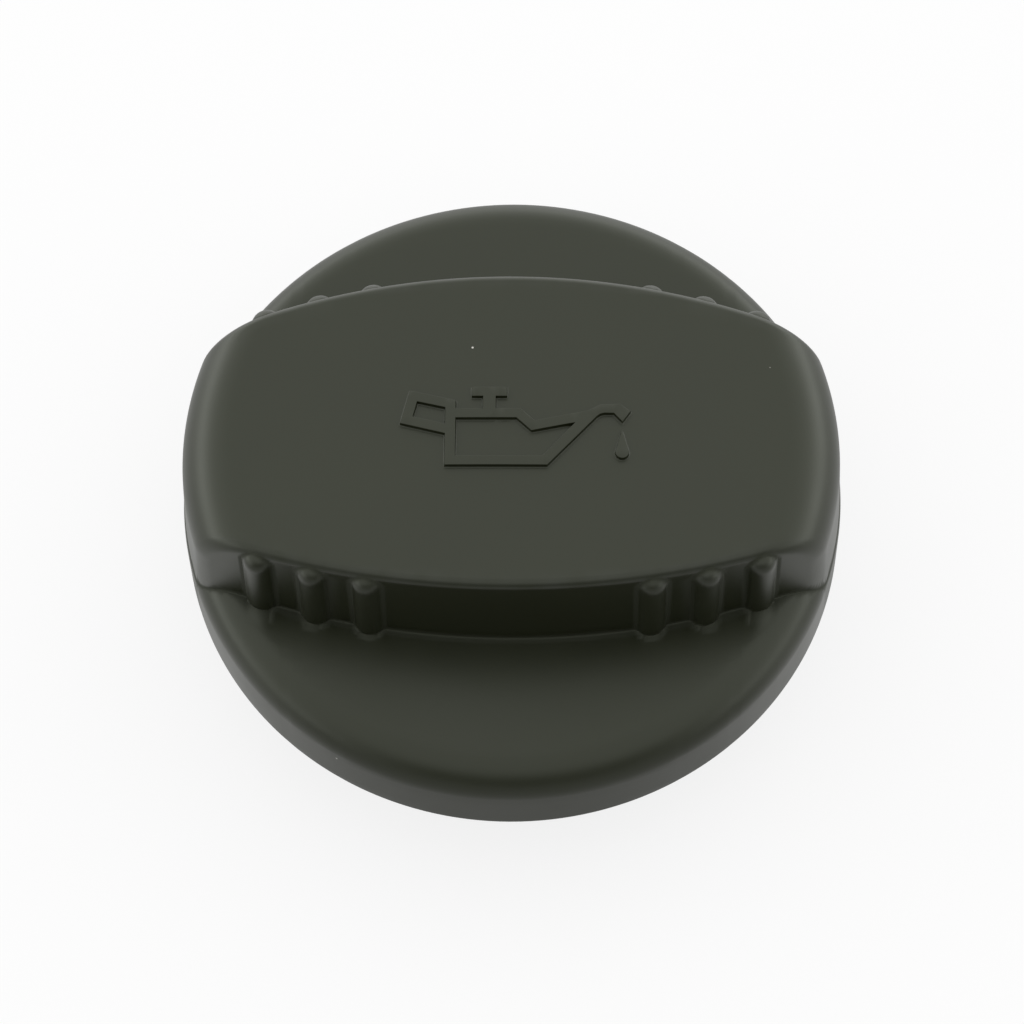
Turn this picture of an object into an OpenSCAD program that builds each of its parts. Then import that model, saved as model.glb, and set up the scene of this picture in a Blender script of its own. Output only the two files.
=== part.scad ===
// Engine oil filler cap: a hollow-gripped cover, a bayonet plug clipped into it, and its sealing ring.
// Millimetres. +Z points out of the engine and +X runs along the grip.
// The cap stands on the end of the plug, at z = 0.

/* [Cover] */
// Outside diameter of the skirt
cap_d = 70; // [68:0.5:76]
// Height from the skirt's edge to the top of the plate
cover_h = 10.1; // [9.5:0.1:12]
// Radius that rolls the plate over into the skirt
shoulder_r = 4; // [2.5:0.1:4.5]
// Thickness of the skirt
skirt_t = 2.2; // [1.8:0.1:2.6]
// Thickness of the plate
plate_t = 2.2; // [1.8:0.1:2.8]
// Rounding of the skirt's edge
lip_r = 0.3; // [0.2:0.1:0.8]

/* [Grip] */
// Width of the grip across the middle, at its foot
grip_w = 37; // [32:0.5:40]
// Height of the grip above the plate
grip_h = 12.3; // [10:0.1:15]
// Radius of the bowed long sides, seen from above
side_arc_r = 84.5; // [70:0.5:120]
// Radius of the slight crown along the top
crown_r = 350; // [250:10:600]
// Radius that rolls the top down over each end
end_roll_r = 5.3; // [4:0.1:9]
// Rounding of the long top edges
edge_r = 1; // [0.6:0.1:1.6]
// How far the upright corners are blended
corner_blend = 1.2; // [0.8:0.1:3]
// Hollow radius where the long sides meet the plate
foot_r = 1.3; // [0.6:0.1:2]
// Draft of the end walls, in degrees
end_draft = 2.8; // [1:0.1:4]
// Thickness of the grip's walls
grip_t = 2.2; // [1.8:0.1:2.8]

/* [Finger ribs] */
// Diameter of a half-round rib
rib_d = 3.1; // [2.4:0.1:3.6]
// Ribs near each end of each long side
rib_count = 3; // [1:1:4]
// Distance from the middle of the grip to the first rib
rib_first = 14.7; // [12:0.1:16]
// Distance from one rib to the next
rib_pitch = 5.55; // [4.5:0.05:5.8]
// How far a rib's rounded top stays below the grip's edge
rib_below = 0.9; // [0.6:0.1:3]

/* [Bayonet plug] */
// Outside diameter of the tube
tube_d = 38; // [34:0.5:40]
// Thickness of the tube
tube_t = 2.2; // [1.8:0.1:3]
// Reach of the tube below the sealing face
tube_reach = 14; // [12:0.5:18]
// How far the flange reaches past the sealing ring
flange_over = 2; // [1:0.1:2.5]
// Thickness of the flange
flange_t = 2.2; // [1.8:0.1:3]
// Bayonet lugs round the tube
lug_count = 2; // [2:1:3]
// How far a lug stands out from the tube
lug_out = 3.2; // [2:0.1:4]
// Thickness of a lug
lug_t = 3.5; // [2.5:0.1:4.5]
// Angle that a lug covers, in degrees
lug_angle = 48; // [36:1:60]
// Distance from the tube's end to a lug
lug_z = 2; // [1:0.1:3]
// Angle of the ramp that leads a lug in, in degrees round the tube
ramp_angle = 18; // [10:1:30]
// How far that ramp falls
ramp_drop = 1.4; // [0.8:0.1:2]
// Angle of the block that stops the turn, in degrees
stop_angle = 8; // [5:1:12]
// Chamfer that leads the tube into the neck
tube_lead = 0.8; // [0.4:0.1:1.2]
// Thickness of the cross of webs inside the tube
cross_t = 1.6; // [1:0.1:2.4]
// Depth of the cross of webs
cross_h = 5; // [3:0.5:8]

/* [Seal] */
// Thickness of the sealing ring
seal_t = 3; // [2:0.1:4]
// Width of the sealing ring
seal_w = 5.9; // [4.5:0.1:6.2]
// Rounding of its edges
seal_r = 0.6; // [0.3:0.1:0.9]

/* [Fits and webs] */
// Radial room between flange and collar
flange_room = 0.15; // [0.1:0.05:0.3]
// Radial room between seal and tube
seal_room = 0.1; // [0.05:0.05:0.3]
// Thickness of the collar that holds the flange
collar_t = 1.8; // [1.4:0.1:2.2]
// How far a snap bead reaches under the flange
bead_in = 0.6; // [0.4:0.1:0.9]
// Height of a snap bead
bead_h = 1; // [0.8:0.1:1.4]
// Flat at the top of a snap bead, that the flange rests on
bead_flat = 0.3; // [0.2:0.1:0.4]
// Angle that a snap bead covers, in degrees
bead_angle = 26; // [16:1:36]
// Width of a locking key
key_w = 4.7; // [3:0.1:6]
// Depth of a locking key
key_in = 1.4; // [1:0.1:1.6]
// Thickness of the stiffening webs
web_t = 1.5; // [1:0.1:2]
// Distance from the middle of the grip to its cross webs
web_x = 9; // [6:0.5:12]

/* [Hidden] */
$fn = 96;
black = "#23251f";
plug_black = "#1d1e1b";
rubber = "#141413";
eps = 0.01;

// Heights, from the end of the tube upwards
seal_z = tube_reach;
flange_z = seal_z + seal_t;
plate_under = flange_z + flange_t;
plate_z = plate_under + plate_t;
skirt_z = plate_z - cover_h;
rim_z = plate_z - shoulder_r;
grip_z = plate_z + grip_h;
collar_z = flange_z - bead_h;

// Radii
cap_r = cap_d / 2;
skirt_in = cap_r - skirt_t;
tube_r = tube_d / 2;
bore_r = tube_r - tube_t;
seal_in = tube_r + seal_room;
seal_out = seal_in + seal_w;
flange_r = seal_out + flange_over;
collar_in = flange_r + flange_room;
collar_out = collar_in + collar_t;

// The grip's walls lean in by this share for each millimetre of height above the rim
taper = tan(end_draft) / cap_r;
function lean(z) = 1 - taper * (z - rim_z);

// The grip's ends are flush with the skirt, but for a hair so that the two never coincide
end_r = cap_r - 0.12;

// Half widths of the grip's outline at a place x along it: the bowed side, and the round end
function side_half(x) = sqrt(pow(side_arc_r, 2) - pow(x, 2)) - side_arc_r + grip_w / 2;
function end_half(x) = sqrt(max(0, pow(end_r, 2) - pow(x, 2)));
function blend_min(a, b, k) = min(a, b) - pow(max(k - abs(a - b), 0), 2) / (4 * k);
function half(x) = blend_min(side_half(x), end_half(x), corner_blend);

// Height of the plate and its rolled shoulder at a distance r from the axis
function round_drop(reach, r) = reach <= 0 ? 0 : r - sqrt(max(0, pow(r, 2) - pow(min(reach, r), 2)));
function plate_top(r) = plate_z - round_drop(r - cap_r + shoulder_r, shoulder_r);

// Height of the grip's top: crowned along x, and rolled down towards the ends
function grip_top(x, y) =
    grip_z - pow(x, 2) / (2 * crown_r) - round_drop(norm([x, y]) - end_r + end_roll_r, end_roll_r);

// One half of the grip's cross-section at x, as [y, z] points from its foot to the middle of its top
foot_steps = 4;
edge_steps = 5;
top_steps = 5;
sink = 0.4;
lift = 0.02;
function half_section(x) =
    let (
        w = half(x),
        f = foot_r * min(1, max(0.1, (end_r - norm([x, w])) / shoulder_r)),
        foot_z = plate_top(norm([x, w + f])),
        e = min(edge_r, w / 3),
        dy = 0.3 * e,
        slope = abs(grip_top(x, w - dy) - grip_top(x, w - 2 * dy)) / dy,
        turn = 90 - atan(slope),
        edge_y = w - e * (1 - cos(turn)),
        edge_z = grip_top(x, edge_y) - e * sin(turn)
    )
    concat(
        [[w + f, foot_z - sink]],
        [for (i = [0:foot_steps])
            let (a = 90 * i / foot_steps) [w + f * (1 - sin(a)), foot_z + f * (1 - cos(a)) + lift]],
        [for (i = [0:edge_steps])
            let (a = turn * i / edge_steps) [w - e * (1 - cos(a)), edge_z + e * sin(a)]],
        [for (i = [1:top_steps]) let (y = edge_y * (1 - i / top_steps)) [y, grip_top(x, y)]]
    );
function mirrored(pts) = [for (i = [len(pts) - 2:-1:0]) [-pts[i][0], pts[i][1]]];
function section(x) = let (h = half_section(x)) [
    for (p = concat(h, mirrored(h))) [x * lean(p[1]), p[0] * lean(p[1]), p[1]]
];

// Sections are closer together towards the ends, where the outline turns
section_steps = 40;
end_angle = 86;
stations = [for (i = [0:section_steps]) end_r * sin(end_angle * (2 * i / section_steps - 1))];

// Solid grip: a loft through its cross-sections
module grip_loft() {
    rows = [for (x = stations) section(x)];
    n = len(rows[0]);
    last = len(rows) - 1;
    points = [for (row = rows) each row];
    skin = [for (i = [0:last - 1], j = [0:n - 1])
        let (k = (j + 1) % n) [i * n + j, (i + 1) * n + j, (i + 1) * n + k, i * n + k]];
    pairs = [for (j = [0:(n - 1) / 2 - 1]) [j, j + 1, n - 2 - j, n - 1 - j]];
    start_cap = pairs;
    end_cap = [for (q = pairs) [for (k = [3:-1:0]) last * n + q[k]]];
    polyhedron(points, concat(skin, start_cap, end_cap), convexity = 6);
}

// Solid plate with its rolled shoulder and skirt
module disc() {
    rotate_extrude() {
        translate([0, skirt_z + lip_r]) square([cap_r, rim_z - skirt_z - lip_r]);
        translate([0, skirt_z]) square([cap_r - lip_r, lip_r + eps]);
        translate([cap_r - lip_r, skirt_z + lip_r]) circle(lip_r);
        translate([0, rim_z - eps]) square([cap_r - shoulder_r, shoulder_r + eps]);
        intersection() {
            translate([cap_r - shoulder_r, rim_z]) circle(shoulder_r);
            translate([cap_r - shoulder_r - eps, rim_z - eps]) square(shoulder_r + 1);
        }
    }
}

// A finger rib stands on the plate and leans with the wall that it sits on
module finger_rib(x) {
    w = half(x);
    r = rib_d / 2;
    foot_z = plate_z - sink;
    top_z = grip_top(x, w - edge_r) - rib_below - r;
    out = norm([x, w]);
    angle = atan(taper * out);
    translate([x * lean(foot_z), w * lean(foot_z), foot_z]) rotate(angle, [w, -x, 0]) {
        cylinder(h = (top_z - foot_z) / cos(angle), r = r, $fn = 32);
        translate([0, 0, (top_z - foot_z) / cos(angle)]) sphere(r, $fn = 32);
    }
}

module finger_ribs() {
    for (side = [0, 1], end = [0, 1], i = [0:rib_count - 1]) {
        mirror([0, side, 0]) mirror([end, 0, 0]) finger_rib(rib_first + i * rib_pitch);
    }
}

// Hollow of the grip, open from below: bowed sides and a ceiling that follows the grip's top
module grip_hollow() {
    top_lean = lean(grip_z);
    centre_y = (side_arc_r - grip_w / 2) * top_lean;
    hollow_r = side_arc_r * top_lean - grip_t;
    hollow_end = end_r * lean(grip_z - end_roll_r) - grip_t;
    roll_r = end_roll_r - grip_t;
    ceiling = grip_z - grip_t;
    edge_z = ceiling - pow(hollow_end, 2) / (2 * crown_r) - roll_r;
    floor_z = plate_under - eps;
    intersection() {
        translate([0, 0, floor_z]) linear_extrude(grip_h + plate_t) intersection() {
            translate([0, centre_y]) circle(hollow_r, $fn = 360);
            translate([0, -centre_y]) circle(hollow_r, $fn = 360);
        }
        rotate_extrude() {
            translate([0, floor_z]) square([hollow_end, edge_z - floor_z]);
            translate([0, edge_z - eps]) square([hollow_end - roll_r, roll_r + eps]);
            intersection() {
                translate([hollow_end - roll_r, edge_z]) circle(roll_r);
                translate([hollow_end - roll_r - eps, edge_z - eps]) square(roll_r + 1);
            }
            intersection() {
                translate([0, edge_z + roll_r - eps]) square([hollow_end - roll_r, grip_h]);
                translate([0, ceiling - crown_r]) circle(crown_r, $fn = 720);
            }
        }
    }
}

// A ring about the z axis
module ring(outer, inner, z, h) {
    translate([0, 0, z]) difference() {
        cylinder(h = h, r = outer);
        translate([0, 0, -1]) cylinder(h = h + 2, r = inner);
    }
}

// Webs that stay standing in the hollow of the grip
module grip_webs() {
    ring(collar_out, collar_in, plate_under - 1, grip_h + plate_t);
    for (x = [-web_x, web_x]) {
        translate([x - web_t / 2, -cap_r, plate_under]) cube([web_t, cap_d, grip_h + plate_t]);
    }
}

// Room under the plate: one space inside the collar, and one between the collar and the skirt
module underside() {
    corner_r = shoulder_r - skirt_t + eps;
    depth = plate_under - skirt_z + 1;
    translate([0, 0, skirt_z - 1]) cylinder(h = depth, r = collar_in);
    translate([0, 0, skirt_z - 1]) cylinder(h = collar_z - skirt_z + 1, r = skirt_in);
    difference() {
        rotate_extrude() {
            translate([collar_out, collar_z - eps]) {
                square([skirt_in - collar_out, plate_under - corner_r - collar_z + eps]);
                square([skirt_in - corner_r - collar_out, plate_under - collar_z + eps]);
            }
            translate([skirt_in - corner_r, plate_under - corner_r]) circle(corner_r, $fn = 48);
        }
        gussets();
    }
}

// Gussets between the collar and the skirt, away from the hollow of the grip
gusset_angles = [-50, -25, 0, 25, 50];
module gussets() {
    for (side = [90, 270], a = gusset_angles) {
        rotate(side + a) translate([collar_out - 1, -web_t / 2, collar_z]) cube([cap_r, web_t, cover_h]);
    }
}

// Locking keys stand in the flange's notches, and snap beads reach under its rim
module keys() {
    for (a = [0:90:270]) {
        rotate(a) translate([collar_in - key_in, -key_w / 2, collar_z]) {
            cube([key_in + collar_t / 2, key_w, plate_under - collar_z]);
        }
    }
}

module snap_beads() {
    for (a = [45:90:315]) {
        rotate(a - bead_angle / 2) rotate_extrude(angle = bead_angle) polygon([
            [collar_in + collar_t / 2, collar_z],
            [collar_in, collar_z],
            [collar_in - bead_in, flange_z - bead_flat],
            [collar_in - bead_in, flange_z],
            [collar_in + collar_t / 2, flange_z],
        ]);
    }
}

module cover() {
    color(black) {
        difference() {
            union() {
                disc();
                grip_loft();
                finger_ribs();
            }
            underside();
            difference() {
                grip_hollow();
                grip_webs();
            }
        }
        keys();
        snap_beads();
    }
}

// A lug under the neck's rim: its upper face starts in a ramp and ends at a stop
module bayonet_lug() {
    lug_r = tube_r + lug_out;
    root_r = tube_r - tube_t / 2;
    top_z = lug_z + lug_t;
    ramp_run = lug_r * sin(ramp_angle) + 1;
    ramp_fall = ramp_drop * ramp_run / (ramp_run - 1);
    intersection() {
        rotate_extrude(angle = lug_angle) translate([root_r, 0]) square([lug_r - root_r, flange_z]);
        rotate(lug_angle - ramp_angle) rotate([90, 0, 90]) linear_extrude(lug_r + 1) polygon([
            [-lug_r, lug_z],
            [ramp_run, lug_z],
            [ramp_run, top_z - ramp_fall],
            [0, top_z],
            [-lug_r, top_z],
        ]);
    }
    rotate_extrude(angle = stop_angle) translate([root_r, lug_z]) square([lug_r - root_r, lug_t * 2]);
}

module bayonet_plug() {
    color(plug_black) {
        difference() {
            rotate_extrude() difference() {
                union() {
                    translate([0, flange_z]) square([flange_r, flange_t]);
                    polygon([
                        [0, 0],
                        [tube_r - tube_lead, 0],
                        [tube_r, tube_lead],
                        [tube_r, flange_z + eps],
                        [0, flange_z + eps],
                    ]);
                }
                translate([0, -1]) square([bore_r, flange_z + 1]);
            }
            for (a = [0:90:270]) {
                rotate(a) translate([flange_r - key_in, -key_w / 2 - flange_room, flange_z - 1]) {
                    cube([key_in + 1, key_w + 2 * flange_room, flange_t + 2]);
                }
            }
        }
        for (i = [0:lug_count - 1]) {
            rotate(i * 360 / lug_count) bayonet_lug();
        }
        for (a = [0, 90]) {
            rotate(a) translate([-tube_r + tube_t / 2, -cross_t / 2, flange_z - cross_h]) {
                cube([tube_d - tube_t, cross_t, cross_h + flange_t / 2]);
            }
        }
    }
}

module seal() {
    color(rubber) rotate_extrude() translate([seal_in, seal_z]) {
        translate([0, seal_r]) square([seal_w, seal_t - 2 * seal_r]);
        translate([seal_r, 0]) square([seal_w - 2 * seal_r, seal_t]);
        for (x = [seal_r, seal_w - seal_r], y = [seal_r, seal_t - seal_r]) {
            translate([x, y]) circle(seal_r, $fn = 32);
        }
    }
}

cover();
bayonet_plug();
seal();
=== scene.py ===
"""Engine oil filler cap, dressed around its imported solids.

Lengths are in millimetres while a piece is worked out, and MM turns them into the frame's metres.
A form is a function that is below zero inside the piece, above zero outside it, and close to the
distance from its surface in between.
"""
import math
import bmesh
import bpy
import numpy as np
from mathutils import Matrix, Vector


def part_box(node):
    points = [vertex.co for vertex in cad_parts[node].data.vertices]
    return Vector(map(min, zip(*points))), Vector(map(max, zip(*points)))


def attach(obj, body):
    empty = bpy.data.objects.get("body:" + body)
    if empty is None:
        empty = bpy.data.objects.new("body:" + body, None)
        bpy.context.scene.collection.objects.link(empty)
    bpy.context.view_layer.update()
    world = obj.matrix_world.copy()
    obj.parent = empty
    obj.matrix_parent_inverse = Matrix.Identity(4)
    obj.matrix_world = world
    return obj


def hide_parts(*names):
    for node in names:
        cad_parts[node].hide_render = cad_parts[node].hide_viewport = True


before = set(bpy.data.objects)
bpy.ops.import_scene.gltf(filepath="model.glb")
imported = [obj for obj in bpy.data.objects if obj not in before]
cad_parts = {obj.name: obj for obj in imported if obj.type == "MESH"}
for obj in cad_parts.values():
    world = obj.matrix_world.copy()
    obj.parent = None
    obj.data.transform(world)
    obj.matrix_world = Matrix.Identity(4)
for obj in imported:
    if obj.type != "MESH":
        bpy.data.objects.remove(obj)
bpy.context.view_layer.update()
MM = 0.001


# Cover: outer form
# One injection moulding in black glass-filled nylon: a round plate with a rolled rim,
# and across it a hollow grip with bowed sides and half-round finger ribs.
plate_h = 10.1
low, high = (np.array(corner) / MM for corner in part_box("cover"))
cap_r = (high[0] - low[0]) / 2
skirt_z = low[2]
grip_z = high[2]
plate_z = skirt_z + plate_h
shoulder_r = 4
lip_r = 0.3
rim_z = plate_z - shoulder_r
rim_r = cap_r - shoulder_r
end_r = cap_r - 0.12
grip_half = 18.5
side_arc_r = 84.5
crown_r = 350
end_roll_r = 5.3
edge_r = 1.0
foot_r = 0.2
draft = 2.8
taper = math.tan(math.radians(draft)) / cap_r
rib_r = 1.7
rib_first = 14.55
rib_pitch = 5.6
rib_places = [rib_first + i * rib_pitch for i in range(3)]
rib_below = 0.7
rib_sunk = 0.7
rib_foot_r = 0.2


def rounded_overlap(a, b, r):
    """What two solids share, with the edge between them rounded to radius r."""
    return np.minimum(np.maximum(a, b), -r) + np.hypot(np.maximum(a + r, 0), np.maximum(b + r, 0))


def rounded_join(a, b, r):
    """Two solids made one, with a hollow radius r where they meet."""
    return np.maximum(np.minimum(a, b), r) - np.hypot(np.maximum(r - a, 0), np.maximum(r - b, 0))


def ease(value, start, end):
    """A smooth step from 0 at start to 1 at end."""
    share = np.clip((value - start) / (end - start), 0, 1)
    return share * share * (3 - 2 * share)


def lean(z):
    """How much narrower the grip is at a height z than at the rim, for the mould's draft."""
    return 1 - taper * np.maximum(z - rim_z, 0)


def grip_wall(x):
    """Half the grip's width at a place x along it, at the height of the rim."""
    return math.sqrt(side_arc_r**2 - x**2) - side_arc_r + grip_half


def grip_crown(x):
    """Height of the grip's top, which sinks a little towards both ends."""
    return grip_z - x**2 / (2 * crown_r)


def grip_form(x, y, z):
    """The grip without its ribs: bowed sides, rolled ends and a crowned top."""
    x, y = x / lean(z), y / lean(z)
    reach = np.hypot(x, y)
    side = np.hypot(x, np.abs(y) + side_arc_r - grip_half) - side_arc_r
    ends = rounded_overlap(reach - end_r, z - grip_crown(x), end_roll_r)
    return rounded_overlap(side, ends, edge_r)


def rib_form(x, y, z):
    """The finger ribs: upright rods with ball tops, partly sunk in the leaning walls."""
    nearest = np.full(np.shape(x), np.inf)
    for place in rib_places:
        top_z = grip_crown(place) - rib_below - rib_r
        up = np.clip(z, rim_z, top_z)
        off = np.hypot(np.abs(x) - place, np.abs(y) - grip_wall(place) * lean(up) + rib_sunk)
        nearest = np.minimum(nearest, np.hypot(off, z - up) - rib_r)
    return nearest


def on_plate(grip, x, y, z):
    """A grip joined to the round plate, with a hollow radius that runs out towards the rim."""
    reach = np.hypot(x, y)
    disc = rounded_overlap(rounded_overlap(reach - cap_r, z - plate_z, shoulder_r), skirt_z - z, lip_r)
    foot = foot_r * np.clip((end_r - reach) / shoulder_r, 0, 1)
    return rounded_join(grip, disc, foot)


def plain_form(x, y, z):
    """The cover without its ribs."""
    return on_plate(grip_form(x, y, z), x, y, z)


def ribbed_form(x, y, z):
    """The whole outside of the cover."""
    return rounded_join(plain_form(x, y, z), rib_form(x, y, z), rib_foot_r)


def surface_points(form, starts, headings, rises, spine_z):
    """Where rays leave a form. Each starts on the grip's middle line and climbs at its own angle."""
    out_x = np.cos(rises) * np.cos(headings)
    out_y = np.cos(rises) * np.sin(headings)
    out_z = np.sin(rises)
    near, far = np.zeros_like(rises), np.full_like(rises, 60.0)
    for _ in range(34):
        middle = (near + far) / 2
        inside = form(starts + middle * out_x, middle * out_y, spine_z + middle * out_z) < 0
        near, far = np.where(inside, middle, near), np.where(inside, far, middle)
    return np.stack([starts + near * out_x, near * out_y, spine_z + near * out_z], axis=-1)


def columns_round(spine_end, coarse=1.1, fine=0.26):
    """Start and heading of each column of the mesh, once clockwise round the grip's middle line."""
    places = [0.0]
    while places[-1] < spine_end:
        near_rib = any(abs(places[-1] - place) < rib_r + 0.9 for place in rib_places)
        places.append(min(places[-1] + (fine if near_rib else coarse), spine_end))
    line = [-place for place in places[:0:-1]] + places
    round_corner = np.arange(1.6, 50, 1.6)
    past_end = np.arange(50, 130.1, 3.2)
    round_next_corner = np.arange(131.6, 179.5, 1.6)
    turns = list(np.radians(np.concatenate([round_corner, past_end, round_next_corner])))
    starts = line + [spine_end] * len(turns) + line[::-1] + [-spine_end] * len(turns)
    headings = [math.pi / 2] * len(line) + [math.pi / 2 - turn for turn in turns]
    headings += [-math.pi / 2] * len(line) + [-math.pi / 2 - turn for turn in turns]
    return np.array(starts)[:, None], np.array(headings)[:, None]


def dome(form, guide, starts, headings, spine_z, lowest, rows):
    """A closed mesh of a form, in rows that lie closer together where the guide form turns,
    on the grip's walls and on the plate just before them."""
    open_step, close_step, turn_step = 1.6, 0.4, math.radians(18)
    rises = math.pi / 2 + (lowest - math.pi / 2) * np.linspace(0, 1, 420)
    trial = surface_points(guide, starts, headings, rises, spine_z)
    steps = np.diff(trial, axis=1)
    lengths = np.linalg.norm(steps, axis=2)
    ways = steps / lengths[:, :, None]
    bends = np.arccos(np.clip(np.sum(ways[:, 1:] * ways[:, :-1], axis=2), -1, 1)) / turn_step
    x, y, z = np.moveaxis(trial[:, 1:], 2, 0)
    steep = ease(np.abs(ways[:, :, 2]), 0.6, 0.9) * (z > plate_z)
    before_wall = np.hypot(x, np.abs(y) + side_arc_r - grip_half) - side_arc_r
    at_foot = (before_wall > 0) * (before_wall < 2.8) * (z < plate_z + 0.2)
    at_foot = at_foot * ease(np.hypot(x, y), rim_r - 0.5, rim_r - 5)
    cost = lengths / (open_step - (open_step - close_step) * np.maximum(steep, at_foot))
    cost[:, 1:] += bends
    cost[:, :-1] += bends
    total = np.pad(np.cumsum(cost, axis=1), ((0, 0), (1, 0)))
    chosen = [np.interp(np.linspace(0, way[-1], rows), way, rise) for way, rise in zip(total, rises)]
    points = surface_points(form, starts, headings, np.array(chosen), spine_z)
    bm = bmesh.new()
    grid = [[bm.verts.new(point) for point in column] for column in points]
    for here, beyond in zip(grid, grid[1:] + grid[:1]):
        for row in range(rows - 1):
            bm.faces.new((here[row], here[row + 1], beyond[row + 1], beyond[row]))
    bm.faces.new([column[-1] for column in grid])
    bmesh.ops.remove_doubles(bm, verts=bm.verts, dist=1e-4)
    bmesh.ops.recalc_face_normals(bm, faces=bm.faces)
    return bm


def add_piece(name, bm):
    """A mesh object in the frame's metres from a bmesh in millimetres."""
    bmesh.ops.scale(bm, vec=(MM, MM, MM), verts=bm.verts)
    mesh = bpy.data.meshes.new(name)
    bm.to_mesh(mesh)
    bm.free()
    for polygon in mesh.polygons:
        polygon.use_smooth = True
    piece = bpy.data.objects.new(name, mesh)
    bpy.context.collection.objects.link(piece)
    return piece


spine_z = skirt_z + 1
starts, headings = columns_round(28.0)
lip_reach = cap_r - lip_r
along = starts * np.cos(headings)
lip_way = np.sqrt(lip_reach**2 - starts**2 + along**2) - along
lip_rise = np.arctan2(skirt_z - spine_z, lip_way)
cover_mesh = dome(ribbed_form, plain_form, starts, headings, spine_z, lip_rise, rows=80)
cover = add_piece("cover_moulding", cover_mesh)


# Cover: underside
# The moulding is hollow under the plate and the grip, and keeps even walls. A collar, webs and
# gussets stiffen it, and keys and snap beads inside the collar hold the plug.
wall = 2.2
plate_under = plate_z - wall
skirt_in = cap_r - wall
flange_t = 2.2
flange_z = plate_under - flange_t
flange_r = 27.0
collar_z = flange_z - 1.0
collar_in = flange_r + 0.15
collar_out = collar_in + 1.8
web_t = 1.5
web_x = 9.0
bead_in = 0.6
bead_sweep = 26
key_in = 1.4
key_w = 4.7
key_gap = 0.15
quarter_turns = (0, 90, 180, 270)


def arc(centre, r, start, end, steps):
    """Points along an arc, angles in degrees."""
    angles = np.radians(np.linspace(start, end, steps + 1))
    return [(centre[0] + r * math.cos(a), centre[1] + r * math.sin(a)) for a in angles]


def lathe(profile, segments=160, sweep=360.0):
    """A solid turned about the z axis from a closed profile of (radius, height) points."""
    bm = bmesh.new()
    whole = sweep >= 360
    angles = np.radians(np.linspace(0, sweep, segments + 1)[: segments if whole else None])
    angles += math.pi / segments if whole else 0
    rings = [[bm.verts.new((r * math.cos(a), r * math.sin(a), z)) for r, z in profile] for a in angles]
    for here, beyond in zip(rings, rings[1:] + (rings[:1] if whole else [])):
        for i in range(len(profile)):
            j = (i + 1) % len(profile)
            bm.faces.new((here[i], beyond[i], beyond[j], here[j]))
    if not whole:
        bm.faces.new(rings[0])
        bm.faces.new(rings[-1][::-1])
    bmesh.ops.remove_doubles(bm, verts=bm.verts, dist=1e-5)
    bmesh.ops.dissolve_degenerate(bm, edges=bm.edges, dist=1e-5)
    bmesh.ops.delete(bm, geom=[edge for edge in bm.edges if not edge.link_faces], context="EDGES")
    bmesh.ops.recalc_face_normals(bm, faces=bm.faces)
    return bm


def block(low_corner, high_corner, turn=0.0):
    """A box between two corners, turned about the z axis by an angle in degrees."""
    bm = bmesh.new()
    bmesh.ops.create_cube(bm, size=1)
    size = Vector(high_corner) - Vector(low_corner)
    middle = (Vector(high_corner) + Vector(low_corner)) / 2
    bmesh.ops.scale(bm, vec=size, verts=bm.verts)
    bmesh.ops.translate(bm, vec=middle, verts=bm.verts)
    turned = Matrix.Rotation(math.radians(turn), 3, "Z")
    bmesh.ops.rotate(bm, cent=(0, 0, 0), matrix=turned, verts=bm.verts)
    return bm


def apply_modifiers(piece):
    """Bakes a piece's modifiers into its mesh."""
    bpy.context.view_layer.update()
    old = piece.data
    done = piece.evaluated_get(bpy.context.evaluated_depsgraph_get())
    piece.data = bpy.data.meshes.new_from_object(done)
    piece.modifiers.clear()
    bpy.data.meshes.remove(old)


def carve(piece, operation, *tools):
    """Cuts tools out of a piece, or joins them to it, and deletes them."""
    for tool in tools:
        work = piece.modifiers.new("carve", "BOOLEAN")
        work.operation = operation
        work.solver = "EXACT"
        work.object = tool
    apply_modifiers(piece)
    for tool in tools:
        bpy.data.objects.remove(tool)


def hollow_form(x, y, z):
    """The room inside the grip, one wall smaller all round."""
    return grip_form(x, y, z) + wall


inner_r = shoulder_r - wall
tip_r = 0.25
room_profile = [(0, skirt_z - 1), (skirt_in, skirt_z - 1)]
room_profile += arc((skirt_in - inner_r, plate_under - inner_r), inner_r, 0, 90, 8)
room_profile += [(collar_out, plate_under)]
room_profile += arc((collar_out - tip_r, collar_z + tip_r), tip_r, 0, -90, 4)
room_profile += arc((collar_in + tip_r, collar_z + tip_r), tip_r, -90, -180, 4)
room_profile += [(collar_in, plate_under), (0, plate_under)]
room = add_piece("room", lathe(room_profile))
gusset_low = (collar_out - 1, -web_t / 2, collar_z)
gusset_high = (cap_r + 2, web_t / 2, plate_z)
gussets = [
    add_piece("gusset", block(gusset_low, gusset_high, side + angle))
    for side in (90, 270)
    for angle in (-50, -25, 0, 25, 50)
]
carve(room, "DIFFERENCE", *gussets)

hollow_z = plate_under - 0.5
level = np.zeros_like(starts)
hollow = add_piece("hollow", dome(hollow_form, hollow_form, starts, headings, hollow_z, level, rows=40))
ring_in = collar_in + 0.03
ring_out = collar_out - 0.03
past_low = hollow_z - 1
past_high = grip_z + 1
ring = [(ring_in, past_low), (ring_out, past_low), (ring_out, past_high), (ring_in, past_high)]
webs = [
    add_piece("web", block((x - web_t / 2, -cap_r, past_low), (x + web_t / 2, cap_r, past_high)))
    for x in (-web_x, web_x)
]
carve(hollow, "DIFFERENCE", add_piece("ring", lathe(ring)), *webs)
carve(cover, "DIFFERENCE", room, hollow)

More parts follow.
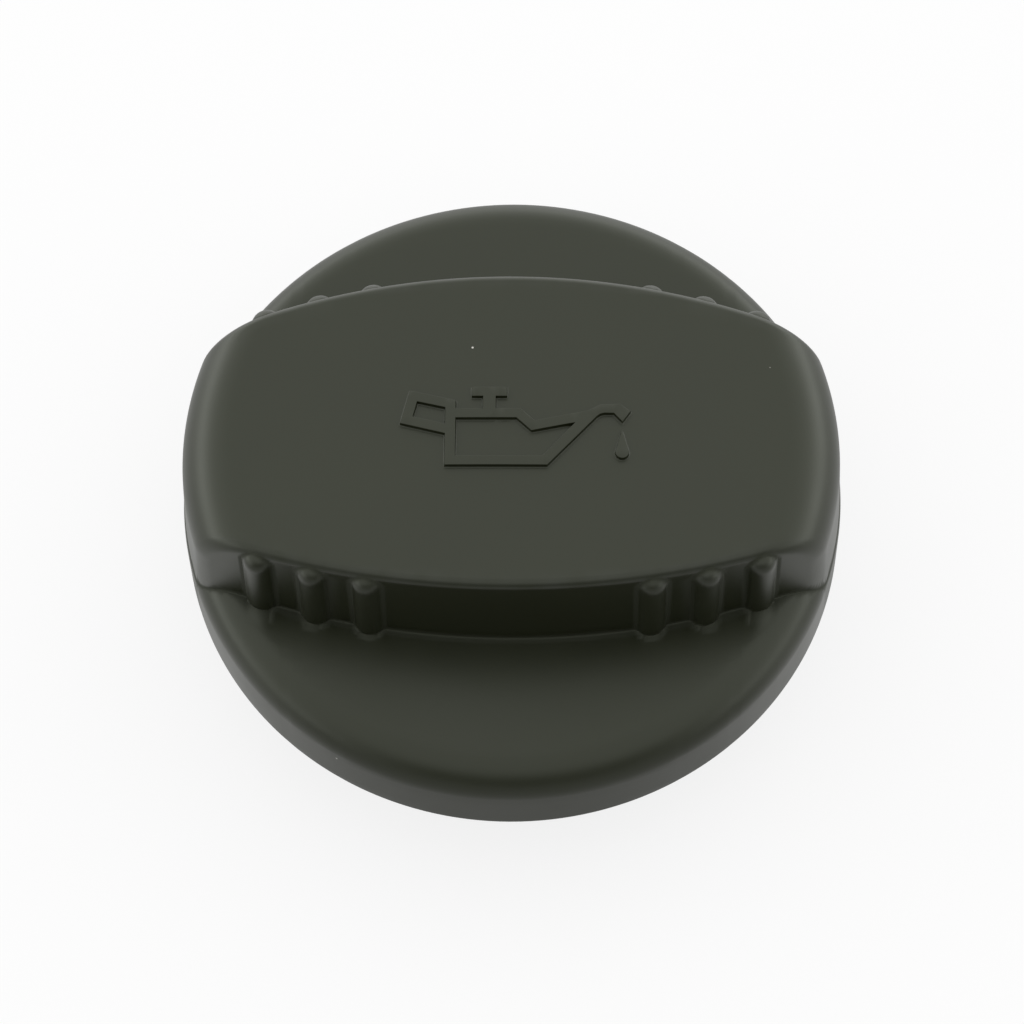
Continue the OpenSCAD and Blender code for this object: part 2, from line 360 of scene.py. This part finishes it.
inside_collar = collar_in + 0.9
key_low = (collar_in - key_in, -key_w / 2, collar_z + tip_r)
key_high = (inside_collar, key_w / 2, plate_under + 0.5)
keys = [add_piece("key", block(key_low, key_high, turn)) for turn in quarter_turns]
bead_tip = collar_in - bead_in
bead_profile = [
    (inside_collar, collar_z + 0.4),
    (collar_in + 0.2, collar_z + 0.2),
    (bead_tip + 0.1, flange_z - 0.36),
    (bead_tip, flange_z - 0.28),
    (bead_tip, flange_z - 0.1),
    (bead_tip + 0.08, flange_z - 0.02),
    (inside_collar, flange_z - 0.02),
]
beads = []
for turn in quarter_turns:
    bm = lathe(bead_profile, segments=12, sweep=bead_sweep)
    between_keys = Matrix.Rotation(math.radians(turn + 45 - bead_sweep / 2), 3, "Z")
    bmesh.ops.rotate(bm, cent=(0, 0, 0), matrix=between_keys, verts=bm.verts)
    beads.append(add_piece("bead", bm))
carve(cover, "UNION", *keys, *beads)


# Cover: symbol
# The usual sign for engine oil stands up from the grip's top, moulded with it: an oil can drawn in
# outline, with a handle, a T-shaped filler knob and a drop at its spout.
sign_h = 0.5
sign_straight_h = 0.2


def raised_sign(name, *outlines, finest=0.8):
    """A raised sign that follows the crown: the first outline runs anticlockwise, its holes clockwise.
    The profile of its edge, as (outwards, upwards) points, has a small hollow radius at the foot."""
    profile = [(0.14, -0.25), (0.14, 0.0), (0.07, 0.03), (0.02, 0.09), (0.0, sign_straight_h)]
    profile += [(0.0, sign_h - 0.09), (-0.03, sign_h - 0.025), (-0.09, sign_h)]
    bm = bmesh.new()
    first, last = [], []
    for outline in outlines:
        points = []
        for start, end in zip(outline, outline[1:] + outline[:1]):
            start, end = np.array(start), np.array(end)
            count = max(1, math.ceil(np.linalg.norm(end - start) / finest))
            points += [start + (end - start) * i / count for i in range(count)]
        points = np.array(points)
        ways = np.roll(points, -1, axis=0) - points
        ways /= np.linalg.norm(ways, axis=1)[:, None]
        right = np.stack([ways[:, 1], -ways[:, 0]], axis=1)
        before = np.roll(right, 1, axis=0)
        mitre = (right + before) / np.maximum(1 + np.sum(right * before, axis=1), 0.5)[:, None]
        rings = []
        for out, rise in profile:
            edge = points + mitre * out
            rings.append([bm.verts.new((x, y, grip_crown(x) + rise)) for x, y in edge])
        for lower, upper in zip(rings, rings[1:]):
            for i in range(len(points)):
                j = (i + 1) % len(points)
                bm.faces.new((lower[i], lower[j], upper[j], upper[i]))
        first += [bm.edges.get((rings[0][i - 1], rings[0][i])) for i in range(len(points))]
        last += [bm.edges.get((rings[-1][i - 1], rings[-1][i])) for i in range(len(points))]
    for rim in (first, last):
        bmesh.ops.triangle_fill(bm, use_beauty=True, use_dissolve=False, edges=rim)
    bmesh.ops.recalc_face_normals(bm, faces=bm.faces)
    return add_piece(name, bm)


can = [(-6.75, -4.55), (3.85, -4.55), (8.95, 1.1), (9.3, 1.38), (9.75, 1.5), (10.7, 1.5)]
nozzle = [(11.6, 0.5), (12.45, 1.75), (11.35, 2.6), (9.3, 2.5), (8.0, 1.77)]
shoulder = [(2.52, 0.59), (1.05, 1.97)]
knob_right = [(-1.5, 1.97), (-1.5, 3.36), (-0.35, 3.36), (-0.35, 4.46)]
knob_left = [(-4.0, 4.46), (-4.0, 3.36), (-2.85, 3.36), (-2.85, 1.97)]
handle = [(-5.65, 1.97), (-5.65, 2.93), (-10.46, 4.09), (-11.41, 0.28), (-6.75, -0.93)]
can_inside = [(-5.65, -3.45), (-5.65, 0.87), (0.65, 0.87), (2.19, -0.61), (6.7, 0.36), (3.36, -3.45)]
handle_inside = [(-10.08, 1.07), (-9.65, 2.77), (-6.75, 2.07), (-6.75, 0.21)]
outside = can + nozzle + shoulder + knob_right + knob_left + handle
oil_can = raised_sign("oil_can", outside, can_inside, handle_inside)
drop_x = 11.55
drop_y = -2.95
drop_r = 0.72
drop_tip = 2.6
drop_turns = np.radians(np.arange(60, 301, 15))
drop = [(drop_x - drop_r * math.sin(a), drop_y + drop_r * math.cos(a)) for a in drop_turns]
drop.append((drop_x, drop_y + drop_tip))
carve(cover, "UNION", oil_can, raised_sign("drop", drop, finest=0.4))


# Cover: finish
# Black nylon with a little glass fibre, left as it comes from a satin mould: a fine grain, handled
# edges that have gone smoother and greyer (the grey partly wear and partly a painted highlight),
# dull inside corners, and a few specks of dust.
def sockets(group, given, taken):
    """Names a shader node group's inputs, with their starting values, and its outputs."""
    for name, kind, value in given:
        socket = group.interface.new_socket(name, in_out="INPUT", socket_type=kind)
        if value is not None:
            socket.default_value = value
    for name, kind in taken:
        group.interface.new_socket(name, in_out="OUTPUT", socket_type=kind)
    return group.nodes.new("NodeGroupInput"), group.nodes.new("NodeGroupOutput")


def moulded_grain_group():
    """Fine grain as a height, and broad soft patches."""
    group = bpy.data.node_groups.new("moulded grain", "ShaderNodeTree")
    start, end = sockets(
        group,
        [
            ("Place", "NodeSocketVector", None),
            ("Grain", "NodeSocketFloat", 4000.0),
            ("Patches", "NodeSocketFloat", 90.0),
        ],
        [("Height", "NodeSocketFloat"), ("Patch", "NodeSocketFloat")],
    )
    link = group.links.new
    fine = group.nodes.new("ShaderNodeTexNoise")
    fine.inputs["Detail"].default_value = 3
    fine.inputs["Roughness"].default_value = 0.6
    link(start.outputs["Place"], fine.inputs["Vector"])
    link(start.outputs["Grain"], fine.inputs["Scale"])
    link(fine.outputs["Fac"], end.inputs["Height"])
    broad = group.nodes.new("ShaderNodeTexNoise")
    broad.inputs["Detail"].default_value = 4
    link(start.outputs["Place"], broad.inputs["Vector"])
    link(start.outputs["Patches"], broad.inputs["Scale"])
    link(broad.outputs["Fac"], end.inputs["Patch"])
    return group


def dust_group():
    """Single specks of dust: a few cells of a grid keep a small dot each."""
    group = bpy.data.node_groups.new("dust specks", "ShaderNodeTree")
    start, end = sockets(
        group,
        [
            ("Place", "NodeSocketVector", None),
            ("Spacing", "NodeSocketFloat", 1000.0),
            ("Speck", "NodeSocketFloat", 0.11),
            ("Bare share", "NodeSocketFloat", 0.994),
        ],
        [("Mask", "NodeSocketFloat")],
    )
    link = group.links.new
    cells = group.nodes.new("ShaderNodeTexVoronoi")
    link(start.outputs["Place"], cells.inputs["Vector"])
    link(start.outputs["Spacing"], cells.inputs["Scale"])
    near = group.nodes.new("ShaderNodeMath")
    near.operation = "LESS_THAN"
    link(cells.outputs["Distance"], near.inputs[0])
    link(start.outputs["Speck"], near.inputs[1])
    split = group.nodes.new("ShaderNodeSeparateColor")
    link(cells.outputs["Color"], split.inputs["Color"])
    chosen = group.nodes.new("ShaderNodeMath")
    chosen.operation = "GREATER_THAN"
    link(split.outputs["Red"], chosen.inputs[0])
    link(start.outputs["Bare share"], chosen.inputs[1])
    both = group.nodes.new("ShaderNodeMath")
    both.operation = "MULTIPLY"
    link(near.outputs[0], both.inputs[0])
    link(chosen.outputs[0], both.inputs[1])
    link(both.outputs[0], end.inputs["Mask"])
    return group


def edge_wear_and_highlight_group():
    """Where an edge is rubbed, broken up by noise. The same mask places a painted edge highlight."""
    group = bpy.data.node_groups.new("edge wear and painted highlight", "ShaderNodeTree")
    start, end = sockets(
        group,
        [
            ("Place", "NodeSocketVector", None),
            ("Edge", "NodeSocketFloat", 0.0),
            ("Wear and highlight", "NodeSocketFloat", 0.5),
        ],
        [("Mask", "NodeSocketFloat")],
    )
    link = group.links.new
    broken = group.nodes.new("ShaderNodeTexNoise")
    broken.inputs["Scale"].default_value = 350
    broken.inputs["Detail"].default_value = 5
    link(start.outputs["Place"], broken.inputs["Vector"])
    rubbed_and_highlit = group.nodes.new("ShaderNodeMapRange")
    rubbed_and_highlit.inputs["From Min"].default_value = 0.3
    rubbed_and_highlit.inputs["From Max"].default_value = 0.7
    link(broken.outputs["Fac"], rubbed_and_highlit.inputs["Value"])
    worn_and_highlit_edges = group.nodes.new("ShaderNodeMath")
    worn_and_highlit_edges.operation = "MULTIPLY"
    link(rubbed_and_highlit.outputs["Result"], worn_and_highlit_edges.inputs[0])
    link(start.outputs["Edge"], worn_and_highlit_edges.inputs[1])
    share = group.nodes.new("ShaderNodeMath")
    share.operation = "MULTIPLY"
    share.use_clamp = True
    link(worn_and_highlit_edges.outputs[0], share.inputs[0])
    link(start.outputs["Wear and highlight"], share.inputs[1])
    link(share.outputs[0], end.inputs["Mask"])
    return group


moulded_grain = moulded_grain_group()
dust_specks = dust_group()
edge_wear_and_highlight = edge_wear_and_highlight_group()


def mark_bends(piece, form, name, way, reach):
    """Stores how sharply the form bends at each point: outwards with way 1, inwards with way -1."""
    points = np.empty(len(piece.data.vertices) * 3)
    piece.data.vertices.foreach_get("co", points)
    x, y, z = points.reshape(-1, 3).T / MM
    around = form(x + reach, y, z) + form(x - reach, y, z) + form(x, y + reach, z) + form(x, y - reach, z)
    around += form(x, y, z + reach) + form(x, y, z - reach)
    here = form(x, y, z)
    bend = way * (around - 6 * here) / reach**2
    on_outside = np.abs(here) < 0.05
    mark = ease(bend, 0.25, 1.1) * on_outside
    piece.data.attributes.new(name, "FLOAT", "POINT").data.foreach_set("value", mark.astype(np.float32))


def moulded(name, colour, roughness, grain, grain_depth, ior, wear_and_highlight=0.0, worn_and_highlight_colour=None):
    """A moulded plastic or rubber: grained, patchy in its gloss, with specks of dust. Rubbed edges
    (their lighter colour partly wear, partly a painted highlight) and grime show where the mesh has
    edges and inside corners marked."""
    gloss_patches = 0.035
    worn_roughness = 0.3
    grime_roughness = 0.7
    dust_colour = (0.55, 0.54, 0.5)
    material = bpy.data.materials.new(name)
    material.use_nodes = True
    nodes, link = material.node_tree.nodes, material.node_tree.links.new
    shader = nodes["Principled BSDF"]
    shader.inputs["IOR"].default_value = ior
    shader.inputs["Specular Tint"].default_value = (0.95, 1.0, 0.88, 1)
    place = nodes.new("ShaderNodeTexCoord")
    surface = nodes.new("ShaderNodeGroup")
    surface.node_tree = moulded_grain
    surface.inputs["Grain"].default_value = grain
    edges = nodes.new("ShaderNodeAttribute")
    edges.attribute_name = "edge"
    rubbed_and_highlit = nodes.new("ShaderNodeGroup")
    rubbed_and_highlit.node_tree = edge_wear_and_highlight
    rubbed_and_highlit.inputs["Wear and highlight"].default_value = wear_and_highlight
    dust = nodes.new("ShaderNodeGroup")
    dust.node_tree = dust_specks
    for node in (surface, rubbed_and_highlit, dust):
        link(place.outputs["Object"], node.inputs["Place"])
    link(edges.outputs["Fac"], rubbed_and_highlit.inputs["Edge"])

    patchy = nodes.new("ShaderNodeMix")
    patchy.data_type = "RGBA"
    patchy.inputs["A"].default_value = (*colour, 1)
    patchy.inputs["B"].default_value = (*[c * 1.35 for c in colour], 1)
    link(surface.outputs["Patch"], patchy.inputs["Factor"])
    # Rubbed edges take a lighter colour: partly wear, partly a painted highlight along the edges.
    worn_and_highlit_colour = nodes.new("ShaderNodeMix")
    worn_and_highlit_colour.data_type = "RGBA"
    worn_and_highlit_colour.inputs["B"].default_value = (*(worn_and_highlight_colour or colour), 1)
    link(rubbed_and_highlit.outputs["Mask"], worn_and_highlit_colour.inputs["Factor"])
    link(patchy.outputs["Result"], worn_and_highlit_colour.inputs["A"])
    dusty_colour = nodes.new("ShaderNodeMix")
    dusty_colour.data_type = "RGBA"
    dusty_colour.inputs["B"].default_value = (*dust_colour, 1)
    link(dust.outputs["Mask"], dusty_colour.inputs["Factor"])
    link(worn_and_highlit_colour.outputs["Result"], dusty_colour.inputs["A"])
    link(dusty_colour.outputs["Result"], shader.inputs["Base Color"])

    gloss = nodes.new("ShaderNodeMapRange")
    gloss.inputs["From Min"].default_value = 0.25
    gloss.inputs["From Max"].default_value = 0.75
    gloss.inputs["To Min"].default_value = roughness - gloss_patches
    gloss.inputs["To Max"].default_value = roughness + gloss_patches
    link(surface.outputs["Patch"], gloss.inputs["Value"])
    rubbed_gloss = nodes.new("ShaderNodeMix")
    rubbed_gloss.inputs["B"].default_value = worn_roughness
    link(rubbed_and_highlit.outputs["Mask"], rubbed_gloss.inputs["Factor"])
    link(gloss.outputs["Result"], rubbed_gloss.inputs["A"])
    corners = nodes.new("ShaderNodeAttribute")
    corners.attribute_name = "corner"
    grimy_gloss = nodes.new("ShaderNodeMix")
    grimy_gloss.inputs["B"].default_value = grime_roughness
    link(corners.outputs["Fac"], grimy_gloss.inputs["Factor"])
    link(rubbed_gloss.outputs["Result"], grimy_gloss.inputs["A"])
    link(grimy_gloss.outputs["Result"], shader.inputs["Roughness"])

    bump = nodes.new("ShaderNodeBump")
    bump.inputs["Distance"].default_value = grain_depth
    bump.inputs["Strength"].default_value = 1.0
    link(surface.outputs["Height"], bump.inputs["Height"])
    link(bump.outputs["Normal"], shader.inputs["Normal"])
    return material


def finish_piece(piece, material, node):
    """Sharpens the true edges, evens the shading and hands the piece to the frame."""
    piece.data.set_sharp_from_angle(angle=math.radians(35))
    evened = piece.modifiers.new("evened", "WEIGHTED_NORMAL")
    evened.keep_sharp = True
    apply_modifiers(piece)
    piece.data.materials.clear()
    piece.data.materials.append(material)
    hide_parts(node)
    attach(piece, "root")


nylon = moulded(
    "black_nylon",
    colour=(0.006, 0.0072, 0.0012),
    roughness=0.36,
    grain=3500,
    grain_depth=0.004 * MM,
    ior=1.57,
    wear_and_highlight=0.7,
    # Lighter than the base colour on rubbed edges: partly wear, partly a painted edge highlight.
    worn_and_highlight_colour=(0.018, 0.019, 0.014),
)
mark_bends(cover, ribbed_form, "edge", way=1, reach=0.3)
mark_bends(cover, ribbed_form, "corner", way=-1, reach=0.55)
finish_piece(cover, nylon, "cover")


# Bayonet plug
# A second moulding in black nylon from a duller mould, pushed up into the cover's collar until its
# flange snaps over the beads. Two ramped lugs near the tube's end turn under the filler neck's rim.
tube_r = 19.0
bore_r = 16.8
tube_lead = 0.8
soft = 0.3
cross_t = 1.6
cross_h = 5.0
lug_out = 3.2
lug_t = 3.5
lug_z = 2.0
lug_angle = 48
ramp_angle = 18
ramp_drop = 1.4
stop_angle = 8
plug_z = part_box("bayonet_plug")[0][2] / MM


def soften(bm, width):
    """Rounds the sharp edges of a bmesh."""
    sharp = [edge for edge in bm.edges if edge.is_manifold and edge.calc_face_angle() > math.radians(40)]
    bmesh.ops.bevel(bm, geom=sharp, offset=width, segments=3, profile=0.5, affect="EDGES",
                    clamp_overlap=True)
    return bm


def sector(r_in, r_out, turns, low_z, tops):
    """A block bent round the z axis, its upper face at a height given for each turn."""
    bm = bmesh.new()
    rings = []
    for turn, top in zip(np.radians(turns), tops):
        corners = [(r_in, low_z), (r_out, low_z), (r_out, top), (r_in, top)]
        rings.append([bm.verts.new((r * math.cos(turn), r * math.sin(turn), z)) for r, z in corners])
    for here, beyond in zip(rings, rings[1:]):
        for i in range(4):
            j = (i + 1) % 4
            bm.faces.new((here[i], beyond[i], beyond[j], here[j]))
    bm.faces.new(rings[0])
    bm.faces.new(rings[-1][::-1])
    bmesh.ops.recalc_face_normals(bm, faces=bm.faces)
    return bm


tube_profile = [(bore_r, plug_z + soft), (bore_r + soft, plug_z), (tube_r - tube_lead, plug_z)]
tube_profile += [(tube_r, plug_z + tube_lead), (tube_r, flange_z - 0.25), (tube_r + 0.25, flange_z)]
tube_profile += arc((flange_r - soft, flange_z + soft), soft, -90, 0, 4)
tube_profile += arc((flange_r - soft, plate_under - soft), soft, 0, 90, 4)
tube_profile += [(0, plate_under), (0, flange_z), (bore_r - 0.5, flange_z), (bore_r, flange_z - 0.5)]
plug = add_piece("bayonet_moulding", lathe(tube_profile))
notch_low = (flange_r - key_in, -key_w / 2 - key_gap, flange_z - 1)
notch_high = (flange_r + 1, key_w / 2 + key_gap, plate_under + 1)
notches = [add_piece("notch", block(notch_low, notch_high, turn)) for turn in quarter_turns]
carve(plug, "DIFFERENCE", *notches)
lug_turns = np.linspace(0.5, lug_angle, 33)
down_ramp = np.radians(np.maximum(lug_turns - lug_angle + ramp_angle, 0))
lug_tops = lug_z + lug_t - ramp_drop * (np.sin(down_ramp) / math.sin(math.radians(ramp_angle)))
stop_turns = np.linspace(0, stop_angle, 6)
stop_tops = np.full(6, lug_z + lug_t * 2)
cross_x = tube_r - (tube_r - bore_r) / 2
fittings = []
for turn in (0, 180):
    lug = sector(bore_r + 1, tube_r + lug_out, lug_turns + turn, lug_z, lug_tops)
    stop = sector(bore_r + 1, tube_r + lug_out - 0.02, stop_turns + turn, lug_z + 0.02, stop_tops)
    fittings += [add_piece("lug", soften(lug, 0.35)), add_piece("stop", soften(stop, 0.35))]
for turn in (0, 90):
    cross_low = (-cross_x, -cross_t / 2, flange_z - cross_h)
    cross = block(cross_low, (cross_x, cross_t / 2, flange_z + 1.1), turn)
    fittings.append(add_piece("cross", soften(cross, 0.2)))
carve(plug, "UNION", *fittings)

plug_nylon = moulded(
    "plug_nylon",
    colour=(0.011, 0.0115, 0.009),
    roughness=0.42,
    grain=2200,
    grain_depth=0.006 * MM,
    ior=1.53,
)
finish_piece(plug, plug_nylon, "bayonet_plug")


# Seal
# A flat ring of black oil-proof rubber, moulded with rounded edges and stretched over the tube
# until it lies against the flange.
seal_low, seal_high = (np.array(corner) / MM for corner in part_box("seal"))
seal_out = (seal_high[0] - seal_low[0]) / 2
seal_in = tube_r + 0.1
seal_r = 0.6
seal_profile = arc((seal_in + seal_r, seal_low[2] + seal_r), seal_r, 180, 270, 6)
seal_profile += arc((seal_out - seal_r, seal_low[2] + seal_r), seal_r, 270, 360, 6)
seal_profile += arc((seal_out - seal_r, seal_high[2] - seal_r), seal_r, 0, 90, 6)
seal_profile += arc((seal_in + seal_r, seal_high[2] - seal_r), seal_r, 90, 180, 6)
seal = add_piece("sealing_ring", lathe(seal_profile, segments=192))
rubber = moulded(
    "seal_rubber",
    colour=(0.016, 0.016, 0.017),
    roughness=0.62,
    grain=1400,
    grain_depth=0.015 * MM,
    ior=1.5,
)
finish_piece(seal, rubber, "seal")


# Studio
# White paper under a broad soft sky. In front, where the camera stands, sky and paper give less
# light. Low on both sides and behind the cap they give more.
world = bpy.data.worlds.new("studio")
bpy.context.scene.world = world
world.use_nodes = True
paper = bpy.data.materials.new("white_floor")
paper.use_nodes = True
aside = math.radians(4)
sky_level = 0.93
floor_half = 3.0
floor_z = -0.1 * MM


def maths(tree, operation, a, b=0.0):
    """A Math node on sockets or numbers."""
    node = tree.nodes.new("ShaderNodeMath")
    node.operation = operation
    for socket, value in zip(node.inputs, (a, b)):
        if isinstance(value, (int, float)):
            socket.default_value = value
        else:
            tree.links.new(value, socket)
    return node.outputs["Value"]


def fade(tree, value, start, end, low, high):
    """A smooth step from low to high."""
    node = tree.nodes.new("ShaderNodeMapRange")
    node.interpolation_type = "SMOOTHSTEP"
    for name, setting in {"From Min": start, "From Max": end, "To Min": low, "To Max": high}.items():
        node.inputs[name].default_value = setting
    tree.links.new(value, node.inputs["Value"])
    return node.outputs["Result"]


def seen_from_cap(tree, coordinates):
    """How far a place lies towards the camera's side, how far off to either side, and its height."""
    split = tree.nodes.new("ShaderNodeSeparateXYZ")
    tree.links.new(tree.nodes.new("ShaderNodeTexCoord").outputs[coordinates], split.inputs["Vector"])
    x, y, z = split.outputs
    along_x = maths(tree, "MULTIPLY", x, math.cos(aside))
    along_y = maths(tree, "MULTIPLY", y, math.sin(aside))
    off = maths(tree, "ADD", along_x, along_y)
    near_x = maths(tree, "MULTIPLY", x, math.sin(aside))
    near_y = maths(tree, "MULTIPLY", y, math.cos(aside))
    toward = maths(tree, "SUBTRACT", near_x, near_y)
    return toward, maths(tree, "ABSOLUTE", off), z


def look_for_camera(tree, others, camera):
    """One shader for what the camera sees and another for the light that reaches the cap."""
    blend = tree.nodes.new("ShaderNodeMixShader")
    tree.links.new(tree.nodes.new("ShaderNodeLightPath").outputs["Is Camera Ray"], blend.inputs["Fac"])
    tree.links.new(others, blend.inputs[1])
    tree.links.new(camera, blend.inputs[2])
    return blend.outputs["Shader"]


sky = world.node_tree
toward, across, height = seen_from_cap(sky, "Generated")
behind = maths(sky, "MAXIMUM", maths(sky, "MULTIPLY", toward, -1.0), 0.0)
sides = maths(sky, "MULTIPLY", across, fade(sky, height, 0.0, 0.5, 1.9, 0.2))
sides = maths(sky, "MULTIPLY", sides, fade(sky, toward, -0.3, 0.4, 1.0, 0.35))
back = maths(sky, "MULTIPLY", behind, fade(sky, height, 0.0, 0.3, 0.6, 0.3))
light = maths(sky, "ADD", maths(sky, "ADD", sides, back), sky_level)
facing = maths(sky, "SUBTRACT", toward, maths(sky, "MULTIPLY", across, 0.4))
in_front = fade(sky, facing, 0.05, 0.7, 0.0, 0.75)
low_down = fade(sky, height, 0.3, 0.75, 1.0, 0.0)
shade = maths(sky, "MULTIPLY", in_front, low_down)
light = maths(sky, "MULTIPLY", light, maths(sky, "SUBTRACT", 1.0, shade))
background = sky.nodes["Background"]
background.inputs["Color"].default_value = (1, 1, 1, 1)
sky.links.new(light, background.inputs["Strength"])
backdrop = sky.nodes.new("ShaderNodeBackground")
backdrop.inputs["Color"].default_value = (1, 1, 1, 1)
all_round = look_for_camera(sky, background.outputs["Background"], backdrop.outputs["Background"])
sky.links.new(all_round, sky.nodes["World Output"].inputs["Surface"])

sheet = paper.node_tree
matt = sheet.nodes["Principled BSDF"]
matt.inputs["Base Color"].default_value = (0.9, 0.9, 0.9, 1)
matt.inputs["Roughness"].default_value = 0.9
matt.inputs["Specular IOR Level"].default_value = 0.1
white = sheet.nodes.new("ShaderNodeEmission")
white.inputs["Color"].default_value = (1, 1, 1, 1)
seen = sheet.nodes.new("ShaderNodeMixShader")
seen.inputs["Fac"].default_value = 0.8
sheet.links.new(matt.outputs["BSDF"], seen.inputs[1])
sheet.links.new(white.outputs["Emission"], seen.inputs[2])
bounce = sheet.nodes.new("ShaderNodeEmission")
bounce.inputs["Color"].default_value = (1, 1, 1, 1)
toward, across, height = seen_from_cap(sheet, "Object")
facing = maths(sheet, "SUBTRACT", toward, maths(sheet, "MULTIPLY", across, 0.5))
near_paper = fade(sheet, facing, -0.01, 0.035, 0.78, 0.5)
far_paper = fade(sheet, toward, -0.15, -0.05, 0.5, 0.0)
sheet.links.new(maths(sheet, "ADD", near_paper, far_paper), bounce.inputs["Strength"])
from_above = look_for_camera(sheet, bounce.outputs["Emission"], seen.outputs["Shader"])
underneath = sheet.nodes.new("ShaderNodeMixShader")
sheet.links.new(sheet.nodes.new("ShaderNodeNewGeometry").outputs["Backfacing"], underneath.inputs["Fac"])
sheet.links.new(from_above, underneath.inputs[1])
sheet.links.new(sheet.nodes.new("ShaderNodeBsdfTransparent").outputs["BSDF"], underneath.inputs[2])
sheet.links.new(underneath.outputs["Shader"], sheet.nodes["Material Output"].inputs["Surface"])
floor_mesh = bpy.data.meshes.new("floor")
floor_corners = [(x * floor_half, y * floor_half, floor_z) for x, y in ((-1, -1), (1, -1), (1, 1), (-1, 1))]
floor_mesh.from_pydata(floor_corners, [], [(0, 1, 2, 3)])
floor_mesh.materials.append(paper)
floor = bpy.data.objects.new("floor", floor_mesh)
bpy.context.collection.objects.link(floor)


# Camera
# A long lens looks steeply down on the front of the cap from about half a metre away, a little
# turned and rolled. The middle of the skirt's lower edge lies at centre_px in the image.
elevation = math.radians(64.582)
azimuth = math.radians(-1.867)
roll = math.radians(-1.529)
distance = 470 * MM
lens_px = 4354.3
image_px = 1024
centre_px = (512.69, 520.08)
level_x = math.sin(azimuth) * math.cos(elevation)
level_y = math.cos(azimuth) * math.cos(elevation)
forward = Vector((level_x, level_y, -math.sin(elevation)))
level_right = Vector((math.cos(azimuth), -math.sin(azimuth), 0))
level_up = level_right.cross(forward)
right = level_right * math.cos(roll) + level_up * math.sin(roll)
up = level_up * math.cos(roll) - level_right * math.sin(roll)
camera_data = bpy.data.cameras.new("camera")
camera = bpy.data.objects.new("camera", camera_data)
bpy.context.collection.objects.link(camera)
camera_data.sensor_width = 36
camera_data.lens = lens_px / image_px * camera_data.sensor_width
camera_data.clip_start = 0.01
camera_data.shift_x = (image_px / 2 - centre_px[0]) / image_px
camera_data.shift_y = (centre_px[1] - image_px / 2) / image_px
aim = Vector((0, 0, skirt_z * MM))
turn = Matrix((right, up, -forward)).transposed().to_4x4()
camera.matrix_world = Matrix.Translation(aim - forward * distance) @ turn
bpy.context.scene.camera = camera
bpy.context.scene.view_settings.view_transform = "Standard"
